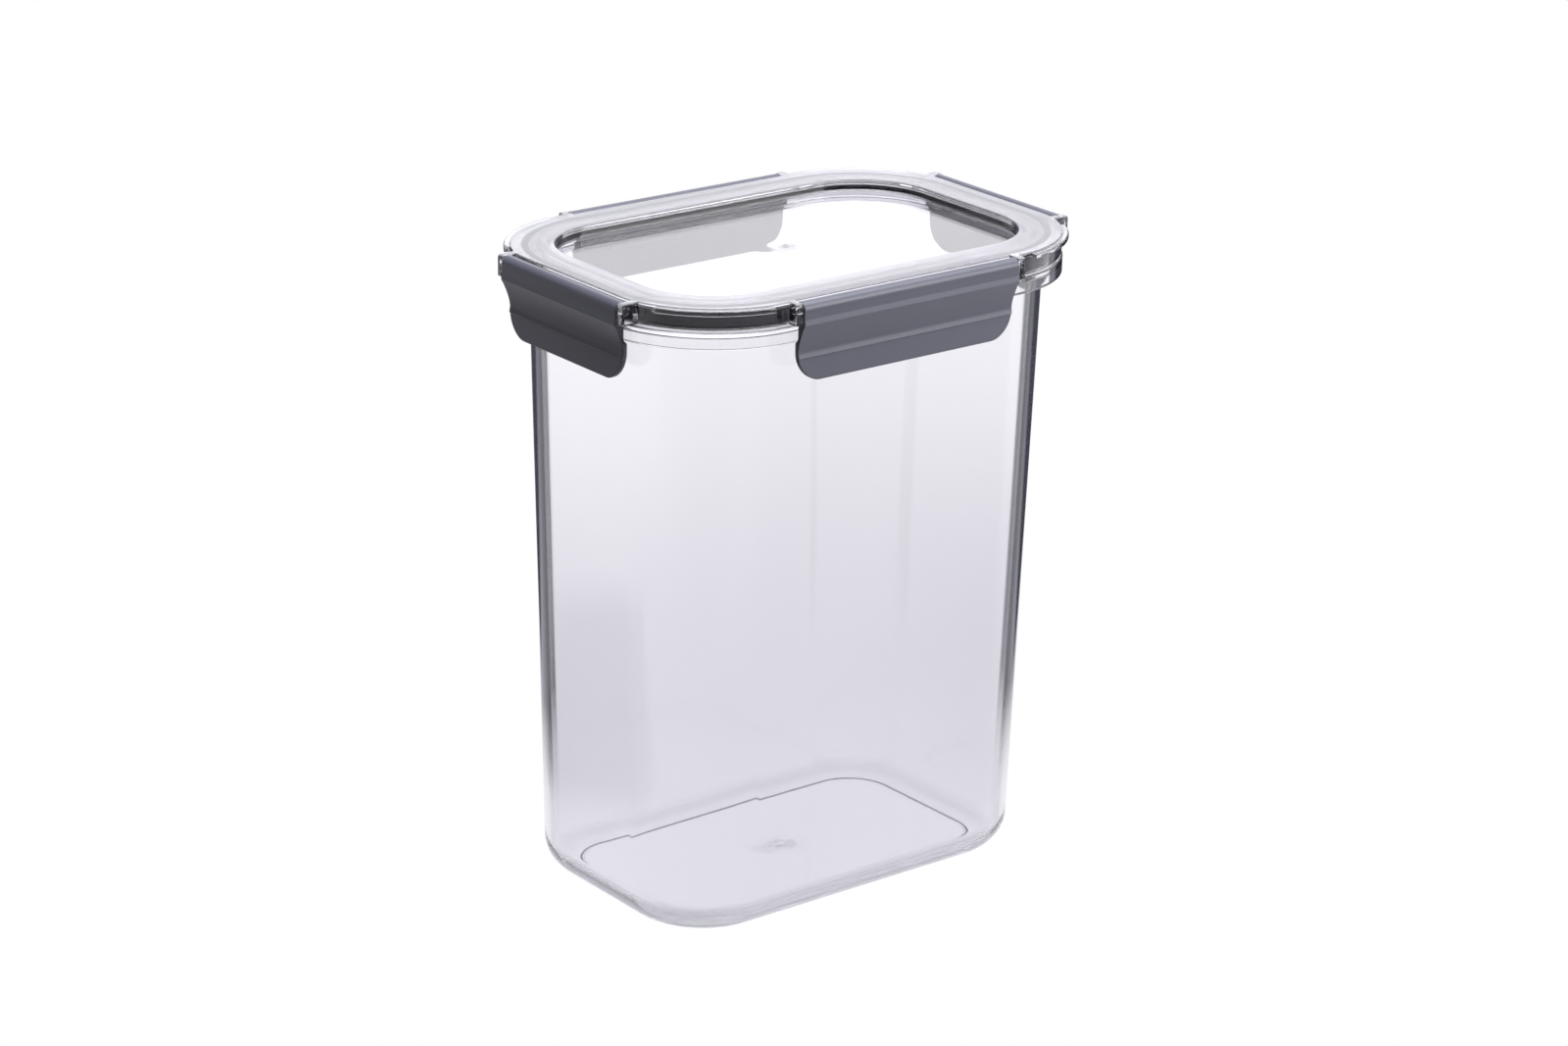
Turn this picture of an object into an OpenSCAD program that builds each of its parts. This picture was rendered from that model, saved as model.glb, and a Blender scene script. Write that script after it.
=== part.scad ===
// Airtight storage canister: a clear rounded box, a clear recessed lid with a
// silicone gasket, and a hinged latch on each of the four sides.
// Millimetres. +Z is up, the long side runs along X, the front faces -Y, and
// the origin is the centre of the base on the table.
//
// Every ring-shaped section is a profile of [offset, height] points swept round
// one core rectangle, where offset is the distance out from that rectangle.

/* [Container] */
// Length of the base along X
base_length = 157; // [125:1:200]
// Width of the base along Y
base_width = 101; // [84:1:140]
// Corner radius of the base, seen from above
base_corner = 30; // [25:1:36]
// Height from the table to the top of the flange
body_height = 217; // [120:1:270]
// Lean of the walls, wider at the mouth, in degrees
wall_lean = 1.47; // [0.5:0.01:2]
// Thickness of the walls
wall = 2.2; // [1.6:0.1:3]
// Thickness of the floor
floor_t = 3; // [2:0.1:5]
// Outside radius where the walls turn into the base
base_round = 12; // [8:0.1:16]
// Height that the middle of the base is raised off the table
foot_rise = 0.8; // [0.3:0.1:1.5]
// Width of the flat ring that the base stands on
foot_ring = 2.4; // [1.8:0.1:4]

/* [Container rim] */
// How far the flange reaches out from the wall
flange_reach = 6.6; // [5.5:0.1:8.5]
// Thickness of the flange's top and of its turned-down edge
flange_t = 2.2; // [1.6:0.1:2.6]
// Height of the turned-down edge
flange_drop = 6; // [4.8:0.1:8]
// Height of the neck above the flange
neck_h = 4; // [2:0.1:4.8]
// Thickness of the neck
neck_t = 1.8; // [1.2:0.1:2.2]

/* [Lid] */
// Height from the flange's top to the lid's top
lid_height = 8; // [7:0.1:11]
// Thickness of the lid's rim and panel
lid_t = 2.2; // [1.6:0.1:2.6]
// Depth of the recess in the lid's top
recess_depth = 4; // [3:0.1:5]
// Distance from the container's wall in to the recess
recess_inset = 8.7; // [7.8:0.1:12]
// Depth of the rib that centres the lid in the mouth, below the flange's top
plug_depth = 3; // [1:0.1:8]
// Thickness of that rib
plug_t = 1.7; // [1.2:0.1:2.2]
// Thickness of the skirt behind a latch
skirt_t = 2; // [1.5:0.1:2.4]
// How far the lip stands out from the skirt
lip_reach = 2.2; // [1:0.1:3]
// Thickness of the lip
lip_t = 1.7; // [1:0.1:2]
// How far the lip lies below the lid's top
lip_drop = 0.5; // [0.2:0.1:1]
// Thickness of each hinge ear
ear_t = 2.6; // [2.4:0.1:4]
// How far each ear's face lies behind the latch's face
ear_inset = 0.5; // [0:0.1:0.8]
// Radius of each ear's outer top corner
ear_corner = 1.2; // [0.4:0.1:2]
// Length beside each ear where the lip is left out
lip_gap = 6; // [3:0.1:8]

/* [Gasket] */
// Width of the gasket
gasket_w = 2.4; // [1.8:0.1:3.2]

/* [Latches] */
// Length of the front and back latches
long_latch = 90.2; // [70:0.1:96]
// Length of the left and right latches
short_latch = 64.2; // [50:0.1:66]
// Radius of the rounded hinge edge along a latch's top
barrel_r = 2.7; // [2.3:0.1:3.2]
// Thickness of a latch above its hook
shoulder_t = 3.4; // [2.6:0.1:4.4]
// Thickness of the finger flap
flap_t = 1.6; // [1.2:0.1:2]
// Length of the flap below the flange
flap_drop = 13.7; // [11:0.1:18]
// Radius of the flap's lower corners
flap_corner = 10; // [4:0.1:11]
// How far the flap hooks in under the flange
hook_grip = 1; // [0.6:0.1:1.6]
// Further reach of the hook rib inside the latch
rib_reach = 0.8; // [0.4:0.1:1.2]
// Height of the hook rib
rib_h = 3; // [2:0.1:3.4]
// Part of the latch's length that has the hook rib
rib_share = 0.66; // [0.4:0.01:0.8]
// Height of each of the two ridges across the latch
ridge_h = 0.3; // [0.2:0.05:0.6]
// Radius of the hinge pins
pin_r = 1.2; // [0.9:0.05:1.5]
// Length of each hinge pin
pin_len = 1.8; // [1.4:0.1:2]

/* [Fits] */
// Radial clearance of a hinge pin in its ear
pin_clear = 0.05; // [0.02:0.01:0.1]
// Clearance at each end of a latch and of a pin
end_clear = 0.3; // [0.2:0.05:0.6]
// Clearance round the neck, the plug rib and a turning latch
swing_clear = 0.4; // [0.3:0.05:0.6]
// Gap between the gasket and the flange that it presses on
seat_gap = 0.3; // [0.1:0.05:0.5]

/* [Hidden] */
$fn = 96;
// Extra depth of a cut, so that it leaves no skin
over = 1;
// Straight steps in each curved stretch of a profile
arc_steps = 7;
clear_tint = [0.87, 0.87, 0.92, 0.4];
lid_tint = [0.82, 0.82, 0.89, 0.5];
grey = [0.47, 0.47, 0.53];
dark = [0.22, 0.21, 0.26];

// Half the core rectangle's length and width
core_x = base_length / 2 - base_corner;
core_y = base_width / 2 - base_corner;
function wall_out(z) = base_corner + z * tan(wall_lean);

// Offsets out from the core rectangle
mouth = wall_out(body_height);
neck_out = mouth - swing_clear;
neck_in = neck_out - neck_t;
flange_out = mouth + flange_reach;
recess_in = mouth - recess_inset;
plug_out = neck_in - swing_clear;
gasket_in = neck_out + swing_clear;
gasket_out = gasket_in + gasket_w;
skirt_in = gasket_out + seat_gap;
skirt_out = flange_out - swing_clear;
notch_out = skirt_in + skirt_t;
pin_out = notch_out + swing_clear + barrel_r;
latch_in = flange_out + swing_clear;
latch_out = latch_in + shoulder_t;
hook_in = flange_out - hook_grip;
flap_out = hook_in + flap_t;

// Heights above the table
flange_low = body_height - flange_drop;
lid_top = body_height + lid_height;
roof = lid_top - lid_t;
panel_top = lid_top - recess_depth;
skirt_low = body_height + 2 * seat_gap;
pin_z = lid_top - barrel_r;
hook_top = flange_low - swing_clear;
dip_z = hook_top - rib_h;
flap_low = flange_low - flap_drop;

// Each ridge across a latch: its height up the slope and its sharp step below
ridge_rise = 2;
ridge_step = 0.3;
upper_ridge_z = body_height + ridge_step;
lower_ridge_z = dip_z - ridge_rise;
// Further flare of the flap towards its free edge
flap_flare = 0.5;
// How far a gasket's sealing lips are undercut
gasket_bevel = 0.6;

// Points along an arc about centre c, from angle a to angle b
function arc(c, r, a, b) =
    [for (i = [0 : arc_steps])
        let (t = a + (b - a) * i / arc_steps) c + r * [cos(t), sin(t)]];

// A ridge on a face that lies at offset r, with its crest at height z
function ridge(r, z) = [[r, z + ridge_rise], [r + ridge_h, z], [r, z - ridge_step]];

// Depth of a ring of offset r where the side's line is d past the end of the core
function ring_depth(r, d) = sqrt(r * r - pow(max(0, d), 2));

// Sweeps a profile of [offset, height] points round the core rectangle
module sweep(profile) {
    corners = [[core_x, core_y, 0], [-core_x, core_y, 90], [-core_x, -core_y, 180], [core_x, -core_y, 270]];
    for (c = corners)
        translate([c[0], c[1], 0]) rotate([0, 0, c[2]]) rotate_extrude(angle = 90) polygon(profile);
    for (turn = [0, 180])
        rotate([0, 0, turn]) {
            translate([-core_x, core_y, 0]) rotate([90, 0, 90]) linear_extrude(2 * core_x) polygon(profile);
            translate([core_x, core_y, 0]) rotate([90, 0, 0]) linear_extrude(2 * core_y) polygon(profile);
        }
}

// Fills the core rectangle between two heights
module core_slab(low, high) {
    translate([-core_x, -core_y, low]) cube([2 * core_x, 2 * core_y, high - low]);
}

// Turns a part drawn for the front side to another side: reach is the core's half size there
module on_side(turn, reach) {
    rotate([0, 0, turn]) translate([0, -reach, 0]) children();
}

// Extrudes a flat [offset, height] shape by len along a side, centred on it
module along_side(len) {
    rotate([90, 0, -90]) linear_extrude(len, center = true) children();
}

module container() {
    round_c = wall_out(base_round) - base_round;
    inner_round = base_round - wall;
    inner_c = wall_out(floor_t + inner_round) - wall - inner_round;
    flange_under = body_height - flange_t;
    profile = concat(
        [[0, foot_rise],
         [round_c - foot_ring, foot_rise],
         [round_c - foot_ring + foot_rise, 0]],
        arc([round_c, base_round], base_round, -90, 0),
        [[wall_out(flange_under), flange_under],
         [flange_out - flange_t, flange_under],
         [flange_out - flange_t, flange_low],
         [flange_out, flange_low],
         [flange_out, body_height],
         [neck_out, body_height],
         [neck_out, body_height + neck_h],
         [neck_in, body_height + neck_h],
         [neck_in, body_height - plug_depth]],
        arc([inner_c, floor_t + inner_round], inner_round, 0, -90),
        [[0, floor_t]]);
    color(clear_tint) {
        sweep(profile);
        core_slab(foot_rise, floor_t);
    }
}

// The lid's rim, walls and panel, without the lip, ears and notches
module lid_shell() {
    rib_low = body_height - plug_depth;
    panel_low = panel_top - lid_t;
    sweep([
        [0, panel_low],
        [recess_in + lid_t, panel_low],
        [recess_in + lid_t, roof],
        [plug_out - plug_t, roof],
        [plug_out - plug_t, rib_low],
        [plug_out, rib_low],
        [plug_out, roof],
        [skirt_in, roof],
        [skirt_in, skirt_low],
        [skirt_out, skirt_low],
        [skirt_out, lid_top],
        [recess_in, lid_top],
        [recess_in, panel_top],
        [0, panel_top]]);
    core_slab(panel_low, panel_top);
}

// The thin lip round the rim, left out behind each latch and beside its ears
module lip() {
    lip_top = lid_top - lip_drop;
    root = skirt_out - lip_t;
    depth = lip_reach + flange_out;
    difference() {
        sweep([[root, lip_top - lip_t], [skirt_out + lip_reach, lip_top - lip_t],
               [skirt_out + lip_reach, lip_top], [root, lip_top]]);
        for (side = SIDES) {
            gap = side[2] + 2 * (end_clear + ear_t + lip_gap);
            on_side(side[0], side[1])
                translate([-gap / 2, -depth, lip_top - lip_t - over])
                    cube([gap, depth, lip_t + 2 * over]);
        }
    }
}

// One ear beside a latch of length len, on the side of the given half size
module ear(len, half_core) {
    far_end = len / 2 + end_clear + ear_t;
    root = ring_depth((skirt_in + skirt_out) / 2, far_end - half_core);
    top_out = pin_out + barrel_r - ear_inset;
    translate([far_end - ear_t / 2, 0, 0]) along_side(ear_t)
        polygon(concat(
            [[root, skirt_low], [top_out, skirt_low]],
            arc([top_out - ear_corner, lid_top - ear_corner], ear_corner, 0, 90),
            [[root, lid_top]]));
}

module lid() {
    color(lid_tint) difference() {
        union() {
            lid_shell();
            lip();
            for (side = SIDES, flip = [0, 1])
                on_side(side[0], side[1]) mirror([flip, 0, 0]) ear(side[2], side[3]);
        }
        for (side = SIDES)
            on_side(side[0], side[1]) {
                room = side[2] + 2 * end_clear;
                translate([-room / 2, -notch_out - flange_out, skirt_low - over])
                    cube([room, flange_out, lid_top - skirt_low + 2 * over]);
                translate([0, -pin_out, pin_z]) rotate([0, 90, 0])
                    cylinder(h = room + 2 * pin_len, r = pin_r + pin_clear, center = true);
            }
    }
}

module gasket() {
    low = body_height + seat_gap;
    color(dark) sweep([
        [gasket_in, low + gasket_bevel],
        [gasket_in + gasket_bevel, low],
        [(gasket_in + gasket_out) / 2, low + gasket_bevel],
        [gasket_out - gasket_bevel, low],
        [gasket_out, low + gasket_bevel],
        [gasket_out, roof],
        [gasket_in, roof]]);
}

// Outline of a latch seen from its end: hinge barrel, shoulder, hook and flap
module latch_outline() {
    bend_top = upper_ridge_z - ridge_step;
    bend = [for (i = [1 : arc_steps])
        let (t = i / arc_steps)
            [flap_out + (latch_out - flap_out) * pow(1 - t, 1.5), bend_top + (dip_z - bend_top) * t]];
    translate([pin_out, pin_z]) circle(barrel_r);
    polygon(concat(
        [[latch_in, pin_z], [latch_out, pin_z - ridge_step]],
        ridge(latch_out, upper_ridge_z),
        bend,
        [for (p = ridge(flap_out, lower_ridge_z)) if (p[1] < dip_z - ridge_step) p],
        [[flap_out + flap_flare, flap_low + flap_t / 3],
         [flap_out + flap_flare - flap_t / 3, flap_low],
         [hook_in + flap_flare, flap_low],
         [hook_in, dip_z],
         [hook_in, hook_top],
         [latch_in, hook_top]]));
}

// One latch of length len, drawn for the front side
module latch(len) {
    color(grey) {
        difference() {
            along_side(len) latch_outline();
            for (flip = [0, 1])
                mirror([flip, 0, 0])
                    translate([len / 2 - flap_corner, 0, flap_low + flap_corner]) rotate([90, 0, 0])
                        linear_extrude(latch_out + over) difference() {
                            translate([0, -flap_corner - over]) square(flap_corner + over);
                            circle(flap_corner);
                        }
        }
        along_side(len * rib_share)
            polygon([
                [hook_in + flap_t / 2, hook_top], [hook_in - rib_reach, hook_top],
                [hook_in - rib_reach, hook_top - rib_h / 2], [hook_in + flap_t / 2, dip_z]]);
        for (flip = [0, 1])
            mirror([flip, 0, 0]) translate([len / 2 - over, -pin_out, pin_z]) rotate([0, 90, 0])
                cylinder(h = pin_len + over, r = pin_r);
    }
}

// The four sides: turn, core half size outwards, latch length, core half size along the side
FRONT = [0, core_y, long_latch, core_x];
RIGHT = [90, core_x, short_latch, core_y];
BACK = [180, core_y, long_latch, core_x];
LEFT = [270, core_x, short_latch, core_y];
SIDES = [FRONT, RIGHT, BACK, LEFT];

module latch_on(side) {
    on_side(side[0], side[1]) latch(side[2]);
}

container();
lid();
gasket();
latch_on(FRONT);  // latch_front
latch_on(BACK);  // latch_back
latch_on(LEFT);  // latch_left
latch_on(RIGHT);  // latch_right
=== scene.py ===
"""Looks of a clear storage canister with a recessed lid, a gasket and four hinged latches.

Every ring-shaped section keeps a set distance, its offset, from one core
rectangle. Lengths in the classes are millimetres; MM turns them into metres.
"""

import logging
import math
from dataclasses import dataclass, field
from enum import Enum
from typing import Any, Iterable, Sequence

import bmesh
import bpy
import numpy as np
from mathutils import Matrix, Vector


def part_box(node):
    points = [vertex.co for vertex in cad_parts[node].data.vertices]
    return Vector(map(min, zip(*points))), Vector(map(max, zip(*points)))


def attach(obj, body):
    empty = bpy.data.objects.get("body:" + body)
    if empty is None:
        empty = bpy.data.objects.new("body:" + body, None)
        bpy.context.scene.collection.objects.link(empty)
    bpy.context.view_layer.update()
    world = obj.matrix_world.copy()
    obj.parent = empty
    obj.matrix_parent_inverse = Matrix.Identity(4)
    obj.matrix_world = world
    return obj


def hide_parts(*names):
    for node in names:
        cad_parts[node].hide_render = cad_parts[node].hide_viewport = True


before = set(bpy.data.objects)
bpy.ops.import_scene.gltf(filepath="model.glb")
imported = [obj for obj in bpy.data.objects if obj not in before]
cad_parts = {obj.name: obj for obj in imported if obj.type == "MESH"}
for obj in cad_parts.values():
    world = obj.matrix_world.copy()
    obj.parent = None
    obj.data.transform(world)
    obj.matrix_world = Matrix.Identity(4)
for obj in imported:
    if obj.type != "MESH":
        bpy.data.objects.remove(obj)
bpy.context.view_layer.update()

MM = 0.001
LOG = logging.getLogger("canister")
Point = tuple[float, float]
Corner = tuple[float, float, float]
Colour = tuple[float, float, float]


class Value:
    """A number that flows between shader nodes; Python's operators add Math nodes."""

    def __init__(self, tree: "ShaderTree", socket: bpy.types.NodeSocket) -> None:
        """Wraps a socket.

        Args:
            tree: the tree that holds the socket.
            socket: the output socket with the number.
        """
        self.tree = tree
        self.socket = socket

    def _math(self, operation: str, *terms: Any) -> "Value":
        """Adds one Math node.

        Args:
            operation: the Math node's operation.
            terms: its inputs in order, each a number or a Value.

        Returns:
            The node's result.
        """
        inputs = dict(enumerate(terms))
        node = self.tree.node("ShaderNodeMath", {"operation": operation}, inputs)
        return Value(self.tree, node.outputs[0])

    def __add__(self, other: Any) -> "Value":
        """Sum."""
        return self._math("ADD", self, other)

    def __radd__(self, other: Any) -> "Value":
        """Sum with a number on the left."""
        return self._math("ADD", other, self)

    def __sub__(self, other: Any) -> "Value":
        """Difference."""
        return self._math("SUBTRACT", self, other)

    def __rsub__(self, other: Any) -> "Value":
        """Difference from a number on the left."""
        return self._math("SUBTRACT", other, self)

    def __mul__(self, other: Any) -> "Value":
        """Product."""
        return self._math("MULTIPLY", self, other)

    def __rmul__(self, other: Any) -> "Value":
        """Product with a number on the left."""
        return self._math("MULTIPLY", other, self)

    def __truediv__(self, other: Any) -> "Value":
        """Quotient."""
        return self._math("DIVIDE", self, other)

    def __abs__(self) -> "Value":
        """Absolute value."""
        return self._math("ABSOLUTE", self)

    def __pow__(self, power: Any) -> "Value":
        """Power."""
        return self._math("POWER", self, power)

    def ramp(self, low: float, high: float, start: float = 0.0, end: float = 1.0) -> "Value":
        """Maps the number smoothly from one range to another and holds the ends.

        Args:
            low: input that gives start.
            high: input that gives end.
            start: result at and below low.
            end: result at and above high.

        Returns:
            The mapped number.
        """
        node = self.tree.node(
            "ShaderNodeMapRange",
            {"interpolation_type": "SMOOTHSTEP"},
            {"Value": self, "From Min": low, "From Max": high, "To Min": start, "To Max": end},
        )
        return Value(self.tree, node.outputs[0])

    def between(self, start: float, full: float, fading: float, gone: float) -> "Value":
        """Tells whether the number lies in a range that has smooth sides.

        Args:
            start: 0 at and below this.
            full: 1 from here.
            fading: 1 up to here.
            gone: 0 at and above this.

        Returns:
            The share, 0 to 1.
        """
        return self.ramp(start, full) * self.ramp(fading, gone, 1.0, 0.0)


def add_node(
    tree: bpy.types.NodeTree, kind: str, settings: dict[str, Any], inputs: dict[Any, Any]
) -> bpy.types.Node:
    """Adds any node to a tree.

    Args:
        tree: the node tree.
        kind: the node's type name.
        settings: its properties, which are set first.
        inputs: socket name or number to a plain value, a Value or a socket.

    Returns:
        The node.
    """
    made = tree.nodes.new(kind)
    for name, setting in settings.items():
        setattr(made, name, setting)
    for name, given in inputs.items():
        source = given.socket if isinstance(given, Value) else given
        if isinstance(source, bpy.types.NodeSocket):
            tree.links.new(source, made.inputs[name])
        else:
            made.inputs[name].default_value = source
    return made


class ShaderTree:
    """The node tree of a material or of the world."""

    def __init__(self, owner: Any) -> None:
        """Empties the owner's tree.

        Args:
            owner: a material or a world.
        """
        owner.use_nodes = True
        self.tree = owner.node_tree
        self.tree.nodes.clear()

    def node(self, kind: str, settings: dict[str, Any], inputs: dict[Any, Any]) -> bpy.types.Node:
        """Adds a node, as add_node does."""
        return add_node(self.tree, kind, settings, inputs)

    def value(self, kind: str, settings: dict[str, Any], inputs: dict[Any, Any], output: Any = 0) -> Value:
        """Adds a node and wraps its output of that name or number."""
        return Value(self, self.node(kind, settings, inputs).outputs[output])

    def place(self) -> bpy.types.NodeSocket:
        """Object coordinates, in metres."""
        return self.node("ShaderNodeTexCoord", {}, {}).outputs["Object"]

    def axes(self, vector: bpy.types.NodeSocket) -> list[Value]:
        """The three numbers of a vector."""
        parts = self.node("ShaderNodeSeparateXYZ", {}, {0: vector})
        return [Value(self, parts.outputs[k]) for k in range(3)]

    def noise(
        self, vector: Any, scale: float, detail: float = 2.0, stretch: Sequence[float] = (1, 1, 1)
    ) -> Value:
        """Smooth noise between 0 and 1.

        Args:
            vector: the coordinates.
            scale: cells to the metre.
            detail: octaves of finer noise.
            stretch: scale of each axis before the noise is read.

        Returns:
            The noise.
        """
        moved = self.node("ShaderNodeMapping", {}, {"Vector": vector, "Scale": tuple(stretch)}).outputs[0]
        inputs = {"Vector": moved, "Scale": scale, "Detail": detail}
        return self.value("ShaderNodeTexNoise", {}, inputs, "Fac")

    def mix(self, factor: Any, first: Any, second: Any) -> bpy.types.NodeSocket:
        """Mixes two colours.

        Args:
            factor: 0 for the first colour, 1 for the second.
            first: a colour or a colour socket.
            second: a colour or a colour socket.

        Returns:
            The colour socket.
        """
        pair = [c if isinstance(c, bpy.types.NodeSocket) else (*c, 1.0) for c in (first, second)]
        node = self.node("ShaderNodeMix", {"data_type": "RGBA"}, {"Factor": factor, 6: pair[0], 7: pair[1]})
        return node.outputs[2]

    def bump(self, height: Value, distance: float) -> bpy.types.NodeSocket:
        """A bumped normal.

        Args:
            height: the relief, 0 to 1.
            distance: metres that a relief of 1 stands up.

        Returns:
            The normal socket.
        """
        node = self.node("ShaderNodeBump", {}, {"Strength": 1.0, "Distance": distance, "Height": height})
        return node.outputs[0]

    def principled(self, inputs: dict[str, Any]) -> bpy.types.NodeSocket:
        """A Principled BSDF with these inputs."""
        return self.node("ShaderNodeBsdfPrincipled", {}, inputs).outputs[0]

    def finish(self, shader: bpy.types.NodeSocket, kind: str = "ShaderNodeOutputMaterial") -> None:
        """Sends a shader to the tree's output.

        Args:
            shader: the shader socket.
            kind: the output node's type name.
        """
        self.node(kind, {}, {"Surface": shader})


class GeometryTree:
    """A Geometry Nodes group with named inputs, applied to an object as a plain mesh."""

    def __init__(self, name: str, inputs: dict[str, str]) -> None:
        """Makes the group and its sockets.

        Args:
            name: the group's name.
            inputs: input name to socket type, besides the geometry.
        """
        self.group = bpy.data.node_groups.new(name, "GeometryNodeTree")
        face = self.group.interface
        face.new_socket("Geometry", in_out="INPUT", socket_type="NodeSocketGeometry")
        self.names = {label: face.new_socket(label, in_out="INPUT", socket_type=kind).identifier
                      for label, kind in inputs.items()}
        face.new_socket("Geometry", in_out="OUTPUT", socket_type="NodeSocketGeometry")
        self.source = self.group.nodes.new("NodeGroupInput")

    def __getitem__(self, name: str) -> bpy.types.NodeSocket:
        """The group's own input of that name."""
        return self.source.outputs[name]

    def node(self, kind: str, settings: dict[str, Any], inputs: dict[Any, Any], output: Any = 0) -> Any:
        """Adds a node, as add_node does, and gives its output of that name or number."""
        return add_node(self.group, kind, settings, inputs).outputs[output]

    def math(self, operation: str, first: Any, second: Any) -> bpy.types.NodeSocket:
        """One Math node on two numbers or sockets."""
        return self.node("ShaderNodeMath", {"operation": operation}, {0: first, 1: second})

    def close(self, geometry: bpy.types.NodeSocket) -> "GeometryTree":
        """Ends the tree in real, smooth geometry with its finish.

        Args:
            geometry: the last geometry socket.

        Returns:
            The tree itself.
        """
        smooth = self.node("GeometryNodeSetShadeSmooth", {}, {"Geometry": geometry})
        real = self.node("GeometryNodeRealizeInstances", {}, {"Geometry": smooth})
        dressed = self.node("GeometryNodeSetMaterial", {}, {"Geometry": real, "Material": self["Finish"]})
        out = self.group.nodes.new("NodeGroupOutput")
        self.group.links.new(dressed, out.inputs[0])
        return self

    def apply(self, thing: bpy.types.Object, values: dict[str, Any]) -> bpy.types.Object:
        """Runs the tree on an object and keeps the result as its plain mesh.

        Args:
            thing: the object whose mesh goes in.
            values: input name to value.

        Returns:
            The object, with no modifier left.
        """
        modifier = thing.modifiers.new("tree", "NODES")
        modifier.node_group = self.group
        for name, given in values.items():
            modifier[self.names[name]] = given
        graph = bpy.context.evaluated_depsgraph_get()
        made = bpy.data.meshes.new_from_object(thing.evaluated_get(graph))
        thing.modifiers.clear()
        thing.data = made
        return thing


SUPPORT = 0.22  # millimetres from an arc's end to the point that keeps the next stretch flat
MERGE = 2e-7  # metres within which two vertices are one


def new_object(name: str, mesh: bpy.types.Mesh) -> bpy.types.Object:
    """Links a mesh to the scene under a name.

    Args:
        name: the piece's name.
        mesh: its mesh, already in place.

    Returns:
        The object, at the origin.
    """
    thing = bpy.data.objects.new(name, mesh)
    bpy.context.scene.collection.objects.link(thing)
    return thing


def round_off(corners: Sequence[Corner], steps: int = 4) -> list[Point]:
    """Rounds the inner corners of an open outline, always with the same number of points.

    Each corner becomes an arc between two support points, which keep the
    shading of the straight stretches flat.

    Args:
        corners: the outline's corners, each with its radius; the two ends are kept.
        steps: straight steps in each arc.

    Returns:
        The outline: the first corner, steps + 3 points for each inner one, the last.
    """
    points: list[Point] = [corners[0][:2]]
    for before, corner, after in zip(corners, corners[1:], corners[2:]):
        here = Vector(corner[:2])
        back, ahead = Vector(before[:2]) - here, Vector(after[:2]) - here
        near = min(back.length, ahead.length)
        turn = back.angle(ahead, math.pi) if near > 1e-6 else math.pi
        if corner[2] <= 0 or near < 1e-6 or turn > 3.1:
            points += [tuple(here)] * (steps + 3)
            continue
        reach = min(corner[2] / math.tan(turn / 2), 0.42 * back.length, 0.42 * ahead.length)
        back_way, ahead_way = back.normalized(), ahead.normalized()
        start, end = here + back_way * reach, here + ahead_way * reach
        middle = here + (back_way + ahead_way).normalized() * reach / math.cos(turn / 2)
        first, last = start - middle, end - middle
        swing = math.atan2(first.x * last.y - first.y * last.x, first.dot(last))
        points.append(tuple(here + back_way * min(reach + SUPPORT, 0.49 * back.length)))
        for k in range(steps + 1):
            points.append(tuple(middle + Matrix.Rotation(swing * k / steps, 2) @ first))
        points.append(tuple(here + ahead_way * min(reach + SUPPORT, 0.49 * ahead.length)))
    points.append(corners[-1][:2])
    return points


def arc(centre: Point, radius: float, start: float, end: float, steps: int) -> list[Point]:
    """Points along an arc.

    Args:
        centre: its middle.
        radius: its radius.
        start: first angle, in degrees.
        end: last angle, in degrees.
        steps: straight steps.

    Returns:
        steps + 1 points.
    """
    turns = np.radians(np.linspace(start, end, steps + 1))
    return [(centre[0] + radius * math.cos(t), centre[1] + radius * math.sin(t)) for t in turns]


def widened(points: Sequence[Point], count: int) -> list[Point]:
    """Splits the longest stretches of an outline until it has a given number of points.

    Args:
        points: the outline.
        count: how many points it ends with.

    Returns:
        The outline with that many points.
    """
    grown = [Vector(p) for p in points]
    while len(grown) < count:
        spans = [(b - a).length for a, b in zip(grown, grown[1:])]
        at = spans.index(max(spans))
        grown.insert(at + 1, (grown[at] + grown[at + 1]) / 2)
    return [tuple(p) for p in grown]


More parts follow.
